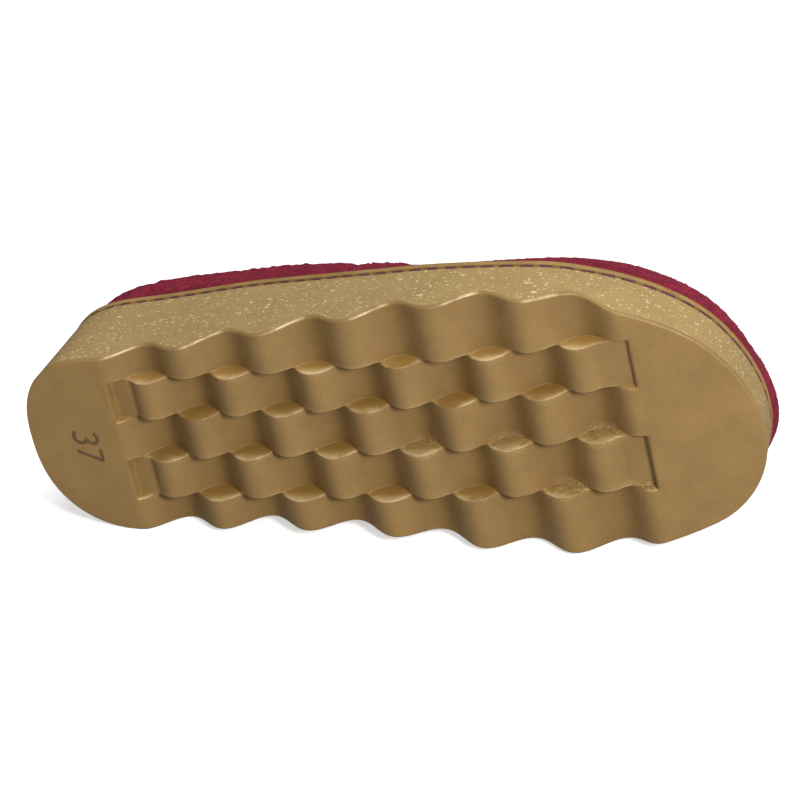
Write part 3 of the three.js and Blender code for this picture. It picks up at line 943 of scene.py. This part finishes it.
def make_grain_group():
    """Moulded grain: a fine height, a broad mottle and a few pores."""
    nodes, entry, way_out = new_group(
        "moulded_grain", [("Grain mm", 0.6), ("Mottle mm", 14.0)], ["Height", "Mottle", "Pores"]
    )
    place = nodes.add("ShaderNodeTexCoord").outputs["Object"]
    fine_scale = nodes.math("DIVIDE", 1000.0, entry.outputs["Grain mm"])
    fine = nodes.add(
        "ShaderNodeTexNoise",
        {"Detail": 3.0, "Roughness": 0.6},
        {"Vector": place, "Scale": fine_scale},
    )
    broad_scale = nodes.math("DIVIDE", 1000.0, entry.outputs["Mottle mm"])
    broad = nodes.add(
        "ShaderNodeTexNoise",
        {"Detail": 5.0, "Roughness": 0.62},
        {"Vector": place, "Scale": broad_scale},
    )
    pores = nodes.add("ShaderNodeTexVoronoi", {"Randomness": 1.0}, {"Vector": place})
    nodes.tree.links.new(nodes.math("MULTIPLY", fine_scale, 0.45), pores.inputs["Scale"])
    split = nodes.add("ShaderNodeSeparateColor", links={"Color": pores.outputs["Color"]})
    few = nodes.math("LESS_THAN", split.outputs["Red"], 0.09)
    inside = nodes.math("SUBTRACT", 0.34, pores.outputs["Distance"])
    hole = nodes.math("MULTIPLY", nodes.ramp(inside, 0.0, 0.14), few)
    nodes.tree.links.new(fine.outputs["Fac"], way_out.inputs["Height"])
    nodes.tree.links.new(broad.outputs["Fac"], way_out.inputs["Mottle"])
    nodes.tree.links.new(hole, way_out.inputs["Pores"])
    return nodes.tree


def make_felt_group():
    """Matted fibres: a height, a fine tone and a broad cloud."""
    nodes, entry, way_out = new_group(
        "matted_fibres", [("Fibre mm", 0.35), ("Cloud mm", 9.0)], ["Height", "Tone", "Cloud"]
    )
    place = nodes.add("ShaderNodeTexCoord").outputs["Object"]
    scale = nodes.math("DIVIDE", 1000.0, entry.outputs["Fibre mm"])
    strands = nodes.add(
        "ShaderNodeTexNoise",
        {"Detail": 4.0, "Roughness": 0.7, "Distortion": 2.2},
        {"Vector": place, "Scale": scale},
    )
    clump_scale = nodes.math("DIVIDE", scale, 5.0)
    clump = nodes.add(
        "ShaderNodeTexNoise",
        {"Detail": 3.0, "Roughness": 0.6, "Distortion": 0.8},
        {"Vector": place, "Scale": clump_scale},
    )
    cloud_scale = nodes.math("DIVIDE", 1000.0, entry.outputs["Cloud mm"])
    cloud = nodes.add(
        "ShaderNodeTexNoise", {"Detail": 3.0}, {"Vector": place, "Scale": cloud_scale}
    )
    height = nodes.math("MULTIPLY_ADD", strands.outputs["Fac"], 0.45, clump.outputs["Fac"])
    nodes.tree.links.new(height, way_out.inputs["Height"])
    nodes.tree.links.new(strands.outputs["Fac"], way_out.inputs["Tone"])
    nodes.tree.links.new(cloud.outputs["Fac"], way_out.inputs["Cloud"])
    return nodes.tree


def new_material(name):
    material = bpy.data.materials.new(name)
    material.use_nodes = True
    material.node_tree.nodes.clear()
    nodes = Nodes(material.node_tree)
    shader = nodes.add("ShaderNodeBsdfPrincipled")
    nodes.add("ShaderNodeOutputMaterial", links={"Surface": shader.outputs[0]})
    return material, nodes, shader


def use_group(nodes, tree, values):
    return nodes.add("ShaderNodeGroup", values, node_tree=tree)


def relief(nodes, shader, height, distance_mm, strength=1.0):
    bump = nodes.add(
        "ShaderNodeBump", {"Distance": distance_mm * MM, "Strength": strength}, {"Height": height}
    )
    nodes.tree.links.new(bump.outputs["Normal"], shader.inputs["Normal"])


# Colours of the rubber
TREAD_DARK = (0.222, 0.130, 0.040, 1)
TREAD_LIGHT = (0.268, 0.160, 0.050, 1)
TREAD_SPECK = (0.37, 0.23, 0.075, 1)
# Painted shade: a darker colour laid into the troughs of the tread
TROUGH_PAINTED_SHADE = (0.115, 0.055, 0.010, 1)
# Painted light: the steep faces between lanes made lighter and more golden, as if lit
STEP_FACE_PAINTED_LIGHT = (0.33, 0.172, 0.028, 1)
# Painted highlight: a pale colour on the outward lane edges and on the rising tread edge
EDGE_PAINTED_HIGHLIGHT = (0.62, 0.46, 0.24, 1)
WALL_DARK = (0.280, 0.182, 0.064, 1)
WALL_LIGHT = (0.330, 0.220, 0.080, 1)
WALL_SPECK = (0.42, 0.30, 0.125, 1)
FINE_FLECK_DARK = (0.50, 0.36, 0.16, 1)
FINE_FLECK_LIGHT = (0.74, 0.62, 0.36, 1)
LARGE_FLECK_DARK = (0.62, 0.38, 0.22, 1)
LARGE_FLECK_LIGHT = (0.74, 0.62, 0.42, 1)
DARK_FLECK = (0.06, 0.035, 0.015, 1)
CRUMB = (0.46, 0.30, 0.12, 1)
PORE = (0.10, 0.06, 0.025, 1)
FINE_FLECKS = {"Pitch mm": 0.85, "Share": 0.46, "Size": 0.50, "Stretch": 0.45}
LARGE_FLECKS = {"Pitch mm": 1.9, "Share": 0.22, "Size": 0.32, "Stretch": 0.5}
DARK_FLECKS = {"Pitch mm": 2.6, "Share": 0.14, "Size": 0.14, "Stretch": 0.2}


def rubber_material(flecks, grain):
    """Brown skin on the tread, and the speckled cut foam where the skin ends on the wall."""
    material, nodes, shader = new_material("moulded_rubber")

    def mask(name):
        return nodes.add("ShaderNodeAttribute", attribute_name=name).outputs["Fac"]

    def laid_over(below, where, weight, above):
        return nodes.mix(nodes.math("MULTIPLY", where, weight), below, above)

    surface = use_group(nodes, grain, {"Grain mm": 0.42, "Mottle mm": 12.0})
    ragged = nodes.math("MULTIPLY_ADD", surface.outputs["Height"], 0.7, -0.35)
    skin = nodes.ramp(nodes.math("ADD", mask("skin"), ragged), 0.2, 0.6)
    dusk = nodes.ramp(surface.outputs["Mottle"], 0.25, 0.75)
    tread = nodes.mix(dusk, TREAD_DARK, TREAD_LIGHT)
    speck = nodes.ramp(surface.outputs["Height"], 0.38, 0.66)
    tread = laid_over(tread, speck, 0.16, TREAD_SPECK)
    faced = mask("faced")
    hollow = mask("hollow")
    # Painted shade in the troughs, strongest at their bottom
    trough_shade_weight = nodes.math("MULTIPLY_ADD", surface.outputs["Height"], 1.0, -0.12)
    tread = laid_over(tread, hollow, trough_shade_weight, TROUGH_PAINTED_SHADE)
    # Painted light on the steep faces between lanes
    tread = laid_over(tread, faced, 0.5, STEP_FACE_PAINTED_LIGHT)
    # Painted highlight on the edges, broken up by the mottle
    painted_highlight = nodes.math("MULTIPLY", mask("edge_highlight"), nodes.ramp(surface.outputs["Mottle"], 0.35, 0.6))
    tread = laid_over(tread, painted_highlight, 0.75, EDGE_PAINTED_HIGHLIGHT)
    wall = nodes.mix(dusk, WALL_DARK, WALL_LIGHT)
    wall = laid_over(wall, speck, 0.5, WALL_SPECK)
    fine = use_group(nodes, flecks, FINE_FLECKS)
    cream = nodes.mix(fine.outputs["Tone"], FINE_FLECK_DARK, FINE_FLECK_LIGHT)
    wall = laid_over(wall, fine.outputs["Mask"], 0.7, cream)
    large = use_group(nodes, flecks, LARGE_FLECKS)
    blush = nodes.mix(large.outputs["Tone"], LARGE_FLECK_DARK, LARGE_FLECK_LIGHT)
    wall = laid_over(wall, large.outputs["Mask"], 0.8, blush)
    dark = use_group(nodes, flecks, DARK_FLECKS)
    wall = laid_over(wall, dark.outputs["Mask"], 0.8, DARK_FLECK)
    body = nodes.mix(skin, wall, tread)
    crumbled = mask("crumbled")
    rough_spot = nodes.math("MULTIPLY", crumbled, nodes.ramp(surface.outputs["Height"], 0.45, 0.6))
    body = laid_over(body, rough_spot, 0.75, CRUMB)
    pored = laid_over(body, surface.outputs["Pores"], 0.3, PORE)
    nodes.tree.links.new(pored, shader.inputs["Base Color"])
    rough = nodes.math("MULTIPLY_ADD", skin, -0.36, 0.84)
    rough = nodes.math("MULTIPLY_ADD", faced, -0.12, rough)
    rough = nodes.math("MULTIPLY_ADD", crumbled, 0.3, rough)
    rough = nodes.math("MULTIPLY_ADD", hollow, 0.12, rough)
    rough = nodes.math("MULTIPLY_ADD", painted_highlight, -0.15, rough)
    nodes.tree.links.new(rough, shader.inputs["Roughness"])
    open_wall = nodes.math("SUBTRACT", 1.0, skin)
    depth = nodes.math("MULTIPLY_ADD", open_wall, 0.8, 0.22)
    depth = nodes.math("MULTIPLY_ADD", hollow, 0.45, depth)
    depth = nodes.math("MULTIPLY_ADD", crumbled, 1.5, depth)
    height = nodes.math("MULTIPLY", surface.outputs["Height"], depth)
    height = nodes.math("SUBTRACT", height, nodes.math("MULTIPLY", surface.outputs["Pores"], 0.3))
    fleck = nodes.math("ADD", fine.outputs["Mask"], large.outputs["Mask"])
    flat = nodes.math("MULTIPLY", fleck, open_wall)
    height = nodes.math("MULTIPLY_ADD", flat, 0.25, height)
    relief(nodes, shader, height, 0.22, 0.8)
    shader.inputs["Specular IOR Level"].default_value = 0.4
    return material


def welt_material(grain):
    material, nodes, shader = new_material("welt_strip")
    surface = use_group(nodes, grain, {"Grain mm": 0.5, "Mottle mm": 9.0})
    dusk = nodes.ramp(surface.outputs["Mottle"], 0.3, 0.7)
    tone = nodes.mix(dusk, (0.225, 0.130, 0.034, 1), (0.300, 0.182, 0.052, 1))
    nodes.tree.links.new(tone, shader.inputs["Base Color"])
    rough = nodes.math("MULTIPLY_ADD", surface.outputs["Height"], 0.2, 0.55)
    nodes.tree.links.new(rough, shader.inputs["Roughness"])
    relief(nodes, shader, surface.outputs["Height"], 0.15)
    return material


def digit_material(grain):
    material, nodes, shader = new_material("moulded_number")
    surface = use_group(nodes, grain, {"Grain mm": 0.42, "Mottle mm": 6.0})
    dusk = nodes.ramp(surface.outputs["Mottle"], 0.3, 0.7)
    tone = nodes.mix(dusk, (0.085, 0.046, 0.014, 1), (0.120, 0.066, 0.020, 1))
    nodes.tree.links.new(tone, shader.inputs["Base Color"])
    rough = nodes.math("MULTIPLY_ADD", surface.outputs["Height"], 0.2, 0.35)
    nodes.tree.links.new(rough, shader.inputs["Roughness"])
    relief(nodes, shader, surface.outputs["Height"], 0.08)
    return material


FIBRE_SIZES = {"red": 0.5, "grey": 0.45}
RED_DARK = (0.130, 0.008, 0.020, 1)
RED_LIGHT = (0.36, 0.030, 0.062, 1)
GREY_DARK = (0.24, 0.22, 0.20, 1)
GREY_LIGHT = (0.36, 0.34, 0.31, 1)
THREAD_DARK = (0.030, 0.006, 0.011, 1)
THREAD_LIGHT = (0.20, 0.03, 0.07, 1)


def felt_material(name, fibres, dark, light, fibre_mm):
    material, nodes, shader = new_material(name)
    surface = use_group(nodes, fibres, {"Fibre mm": fibre_mm, "Cloud mm": 11.0})
    tone = nodes.mix(nodes.ramp(surface.outputs["Tone"], 0.34, 0.66), dark, light)
    deep = tuple(c * 0.6 for c in dark[:3]) + (1,)
    clumps = nodes.ramp(surface.outputs["Height"], 0.62, 0.9)
    tone = nodes.mix(nodes.math("MULTIPLY_ADD", clumps, -0.55, 0.55), tone, deep)
    shade = nodes.math("MULTIPLY", nodes.ramp(surface.outputs["Cloud"], 0.4, 0.7), 0.35)
    nodes.tree.links.new(nodes.mix(shade, tone, deep), shader.inputs["Base Color"])
    shader.inputs["Roughness"].default_value = 1.0
    shader.inputs["Specular IOR Level"].default_value = 0.15
    shader.inputs["Sheen Weight"].default_value = 0.14
    shader.inputs["Sheen Roughness"].default_value = 0.5
    tint = (min(1.0, light[0] * 2.2), light[1] * 2.2 + 0.05, light[2] * 2.2 + 0.05, 1)
    shader.inputs["Sheen Tint"].default_value = tint
    relief(nodes, shader, surface.outputs["Height"], 0.35)
    return material


def thread_material(fibres):
    material, nodes, shader = new_material("seam_thread")
    surface = use_group(nodes, fibres, {"Fibre mm": 0.2, "Cloud mm": 5.0})
    twist = nodes.ramp(surface.outputs["Tone"], 0.35, 0.7)
    tone = nodes.mix(twist, THREAD_DARK, THREAD_LIGHT)
    nodes.tree.links.new(tone, shader.inputs["Base Color"])
    shader.inputs["Roughness"].default_value = 0.55
    relief(nodes, shader, surface.outputs["Height"], 0.06)
    return material


def floor_material():
    """White for the camera, and a quieter grey for the light that it throws back on the shoe."""
    material, nodes, shader = new_material("pale_floor")
    place = nodes.add("ShaderNodeTexCoord").outputs["Object"]
    cloud = nodes.add("ShaderNodeTexNoise", {"Scale": 3.0, "Detail": 2.0}, {"Vector": place})
    tone = nodes.mix(cloud.outputs["Fac"], (0.86, 0.85, 0.85, 1), (0.90, 0.89, 0.89, 1))
    nodes.tree.links.new(tone, shader.inputs["Base Color"])
    shader.inputs["Roughness"].default_value = 0.9
    shader.inputs["Emission Color"].default_value = (1, 1, 1, 1)
    shader.inputs["Emission Strength"].default_value = 0.55
    quiet = nodes.add("ShaderNodeBsdfDiffuse", {"Color": (0.5, 0.49, 0.48, 1)})
    path = nodes.add("ShaderNodeLightPath")
    both = nodes.add(
        "ShaderNodeMixShader",
        links={0: path.outputs["Is Camera Ray"], 1: quiet.outputs[0], 2: shader.outputs[0]},
    )
    way_out = next(n for n in material.node_tree.nodes if n.bl_idname == "ShaderNodeOutputMaterial")
    nodes.tree.links.new(both.outputs[0], way_out.inputs["Surface"])
    return material


# Stage: floor, light and camera

CAMERA_PLACE = (0.37423801, -1.10289901, 0.72134259)
CAMERA_RIGHT = (0.9573837, 0.27357696, -0.09258567)
CAMERA_DOWN = (0.06402632, -0.51362554, -0.85562225)
CAMERA_FORWARD = (-0.2816329, 0.81323087, -0.50925284)
CAMERA_LENS = 180.0
SENSOR_WIDTH = 36.0
LIGHT_TARGET = (0, 0, 0.05)
SKY_LIGHT = 0.20
SKY_SEEN = 1.0


def make_floor():
    made = new_object(
        "floor", [(-6, -6, 0), (6, -6, 0), (6, 6, 0), (-6, 6, 0)], [(0, 1, 2, 3)], shoe_frame=False
    )
    made.data.materials.append(floor_material())


def make_light(name, place, size, power):
    """A round lamp that looks at the shoe."""
    data = bpy.data.lights.new(name, "AREA")
    data.shape = "DISK"
    data.size = size
    data.energy = power
    made = bpy.data.objects.new(name, data)
    bpy.context.scene.collection.objects.link(made)
    back = Vector(place) - Vector(LIGHT_TARGET)
    made.location = place
    made.rotation_euler = back.to_track_quat("Z", "Y").to_euler()


def make_world():
    world = bpy.data.worlds.new("studio")
    world.use_nodes = True
    tree = world.node_tree
    tree.nodes.clear()
    nodes = Nodes(tree)
    soft = nodes.add("ShaderNodeBackground", {"Color": (1, 1, 1, 1), "Strength": SKY_LIGHT})
    white = nodes.add("ShaderNodeBackground", {"Color": (1, 1, 1, 1), "Strength": SKY_SEEN})
    path = nodes.add("ShaderNodeLightPath")
    mix = nodes.add(
        "ShaderNodeMixShader",
        links={0: path.outputs["Is Camera Ray"], 1: soft.outputs[0], 2: white.outputs[0]},
    )
    nodes.add("ShaderNodeOutputWorld", links={"Surface": mix.outputs[0]})
    bpy.context.scene.world = world


def make_camera():
    data = bpy.data.cameras.new("camera")
    data.lens = CAMERA_LENS
    data.sensor_width = SENSOR_WIDTH
    data.clip_end = 20
    made = bpy.data.objects.new("camera", data)
    bpy.context.scene.collection.objects.link(made)
    right = np.array(CAMERA_RIGHT)
    up = -np.array(CAMERA_DOWN)
    back = -np.array(CAMERA_FORWARD)
    matrix = np.eye(4)
    matrix[:3, 0], matrix[:3, 1], matrix[:3, 2], matrix[:3, 3] = right, up, back, CAMERA_PLACE
    made.matrix_world = Matrix(matrix.tolist())
    bpy.context.scene.camera = made


# The whole shoe

flecks = make_fleck_group()
grain = make_grain_group()
fibres = make_felt_group()

make_camera()
make_world()
make_floor()
make_light("key", (0.66, -0.72, 0.62), 0.24, 11.0)
make_light("fill", (-0.3, -1.3, 0.8), 0.8, 1.6)
make_light("top", (0.1, 0.05, 1.3), 0.9, 11.0)

outsole = make_outsole()
paint(outsole, rubber_material(flecks, grain))
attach(outsole, "root")
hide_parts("outsole")

welt = make_welt()
paint(welt, welt_material(grain))
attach(welt, "root")
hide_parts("welt")

stitches = make_stitches()
paint(stitches, thread_material(fibres))
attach(stitches, "root")

digits = make_digits()
paint(digits, digit_material(grain))
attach(digits, "root")

upper = make_upper()
felt = felt_material("wool_felt", fibres, RED_DARK, RED_LIGHT, FIBRE_SIZES["red"])
paint(upper, felt)
nap = make_nap("upper_nap", upper, 5)
paint(nap, felt)
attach(nap, "root")
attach(upper, "root")
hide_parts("upper")

insole = make_insole()
paint(insole, felt_material("grey_felt", fibres, GREY_DARK, GREY_LIGHT, FIBRE_SIZES["grey"]))
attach(insole, "root")
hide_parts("insole")

bpy.context.scene.view_settings.view_transform = "Standard"
